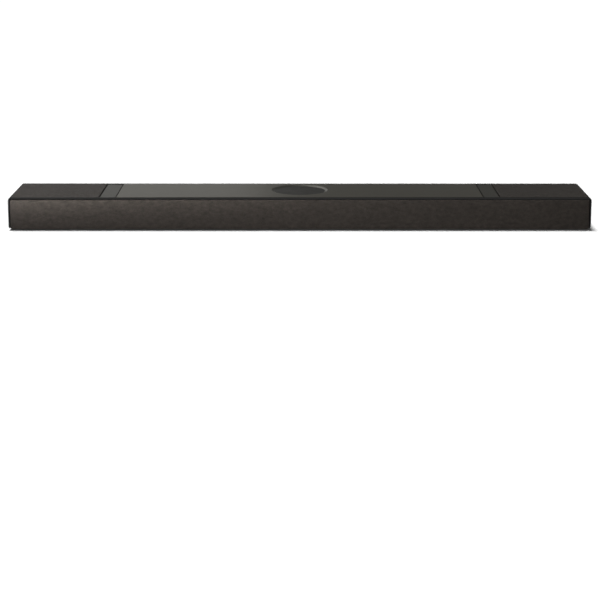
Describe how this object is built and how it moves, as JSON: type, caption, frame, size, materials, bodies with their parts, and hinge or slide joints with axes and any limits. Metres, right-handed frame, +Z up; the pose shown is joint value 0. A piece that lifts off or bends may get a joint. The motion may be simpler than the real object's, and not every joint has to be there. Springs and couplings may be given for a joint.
{
  "type": "soundbar",
  "caption": "Long low soundbar: cloth front and cloth top ends, metal centre plate between recessed bands, round touch dish, rear socket bays and rubber feet.",
  "frame": {"origin": "centre of the bar's footprint, on the surface that the feet stand on", "axes": "+X along the bar to the right as seen from the front, the cloth front faces -Y, +Z up"},
  "size_m": [1.21, 0.165, 0.07],
  "materials": {
    "case_plastic": "fine moulded texture",
    "frame_plastic": "plain moulded",
    "plate_metal": "satin, dark anodised",
    "band_metal": "satin, dark anodised",
    "cloth": "tight melange weave",
    "dark_glass": "smoked, matt coated",
    "light_plastic": "diffusing",
    "board": "solder mask",
    "heat_sink_metal": "plain extruded",
    "socket_steel": "plated",
    "connector_plastic": "plain moulded",
    "button_rubber": "soft",
    "contact_brass": "machined",
    "foot_rubber": "soft, matt",
    "screw_steel": "blackened",
    "basket_steel": "painted black",
    "magnet_steel": "zinc plated",
    "surround_rubber": "matt",
    "spider_cloth": "impregnated weave",
    "cone_pulp": "fibrous"
  },
  "bodies": {
    "case": {"bottom_tray": "case_plastic", "chamber_walls": "case_plastic", "rear_cover": "case_plastic", "io_bay": "case_plastic", "power_bay": "case_plastic", "front_baffle": "frame_plastic", "top_deck": "case_plastic", "front_grille_frame": "frame_plastic", "front_grille_fabric": "cloth", "top_plate": "plate_metal", "trim_band_left": "band_metal", "trim_band_right": "band_metal", "top_grille_frame_left": "frame_plastic", "top_grille_frame_right": "frame_plastic", "top_fabric_left": "cloth", "top_fabric_right": "cloth", "end_cap_left": "case_plastic", "end_cap_right": "case_plastic", "control_ring": "band_metal", "touch_glass": "dark_glass", "light_guide": "light_plastic", "touch_board": "board", "main_board": "board", "amplifier_board": "board", "heat_sink": "heat_sink_metal", "power_supply": "board", "hdmi_sockets": "socket_steel", "usb_socket": "socket_steel", "optical_socket": "connector_plastic", "ethernet_socket": "socket_steel", "mains_inlet": "connector_plastic", "inlet_pins": "contact_brass", "remote_sensor": "connector_plastic", "antenna_boards": "board", "feet": "foot_rubber", "mount_inserts": "contact_brass", "case_screws": "screw_steel", "driver_screws": "screw_steel", "woofer_baskets": "basket_steel", "woofer_magnets": "magnet_steel", "woofer_surrounds": "surround_rubber", "woofer_spiders": "spider_cloth", "fullrange_baskets": "basket_steel", "fullrange_magnets": "magnet_steel", "fullrange_surrounds": "surround_rubber"},
    "woofer_cone_front_1": {"woofer_cone_front_1": "cone_pulp"},
    "woofer_cone_front_2": {"woofer_cone_front_2": "cone_pulp"},
    "woofer_cone_front_3": {"woofer_cone_front_3": "cone_pulp"},
    "woofer_cone_front_4": {"woofer_cone_front_4": "cone_pulp"},
    "woofer_cone_top_left": {"woofer_cone_top_left": "cone_pulp"},
    "woofer_cone_top_right": {"woofer_cone_top_right": "cone_pulp"},
    "fullrange_cone_front_1": {"fullrange_cone_front_1": "cone_pulp"},
    "fullrange_cone_front_2": {"fullrange_cone_front_2": "cone_pulp"},
    "fullrange_cone_front_3": {"fullrange_cone_front_3": "cone_pulp"},
    "fullrange_cone_front_4": {"fullrange_cone_front_4": "cone_pulp"},
    "fullrange_cone_top_left": {"fullrange_cone_top_left": "cone_pulp"},
    "fullrange_cone_top_right": {"fullrange_cone_top_right": "cone_pulp"},
    "optical_shutter": {"optical_shutter": "connector_plastic"},
    "reset_button": {"reset_button": "button_rubber"}
  },
  "joints": [
    {"name": "woofer_stroke_front_1", "type": "slide", "parent": "case", "child": "woofer_cone_front_1", "axis": [0, -1, 0], "range_m": [-0.004, 0.004], "stiffness_N_per_m": 1500},
    {"name": "woofer_stroke_front_2", "type": "slide", "parent": "case", "child": "woofer_cone_front_2", "axis": [0, -1, 0], "range_m": [-0.004, 0.004], "stiffness_N_per_m": 1500},
    {"name": "woofer_stroke_front_3", "type": "slide", "parent": "case", "child": "woofer_cone_front_3", "axis": [0, -1, 0], "range_m": [-0.004, 0.004], "stiffness_N_per_m": 1500},
    {"name": "woofer_stroke_front_4", "type": "slide", "parent": "case", "child": "woofer_cone_front_4", "axis": [0, -1, 0], "range_m": [-0.004, 0.004], "stiffness_N_per_m": 1500},
    {"name": "woofer_stroke_top_left", "type": "slide", "parent": "case", "child": "woofer_cone_top_left", "axis": [0, 0, 1], "range_m": [-0.004, 0.004], "stiffness_N_per_m": 1500},
    {"name": "woofer_stroke_top_right", "type": "slide", "parent": "case", "child": "woofer_cone_top_right", "axis": [0, 0, 1], "range_m": [-0.004, 0.004], "stiffness_N_per_m": 1500},
    {"name": "fullrange_stroke_front_1", "type": "slide", "parent": "case", "child": "fullrange_cone_front_1", "axis": [0, -1, 0], "range_m": [-0.002, 0.002], "stiffness_N_per_m": 1200},
    {"name": "fullrange_stroke_front_2", "type": "slide", "parent": "case", "child": "fullrange_cone_front_2", "axis": [0, -1, 0], "range_m": [-0.002, 0.002], "stiffness_N_per_m": 1200},
    {"name": "fullrange_stroke_front_3", "type": "slide", "parent": "case", "child": "fullrange_cone_front_3", "axis": [0, -1, 0], "range_m": [-0.002, 0.002], "stiffness_N_per_m": 1200},
    {"name": "fullrange_stroke_front_4", "type": "slide", "parent": "case", "child": "fullrange_cone_front_4", "axis": [0, -1, 0], "range_m": [-0.002, 0.002], "stiffness_N_per_m": 1200},
    {"name": "fullrange_stroke_top_left", "type": "slide", "parent": "case", "child": "fullrange_cone_top_left", "axis": [0, 0, 1], "range_m": [-0.002, 0.002], "stiffness_N_per_m": 1200},
    {"name": "fullrange_stroke_top_right", "type": "slide", "parent": "case", "child": "fullrange_cone_top_right", "axis": [0, 0, 1], "range_m": [-0.002, 0.002], "stiffness_N_per_m": 1200},
    {"name": "shutter_hinge", "type": "hinge", "parent": "case", "child": "optical_shutter", "pos_m": [-0.12, 0.0451, 0.0283], "axis": [-1, 0, 0], "range_deg": [0, 80], "stiffness_Nm_per_rad": 0.0002},
    {"name": "reset_press", "type": "slide", "parent": "case", "child": "reset_button", "axis": [0, -1, 0], "range_m": [0, 0.001], "stiffness_N_per_m": 300}
  ]
}
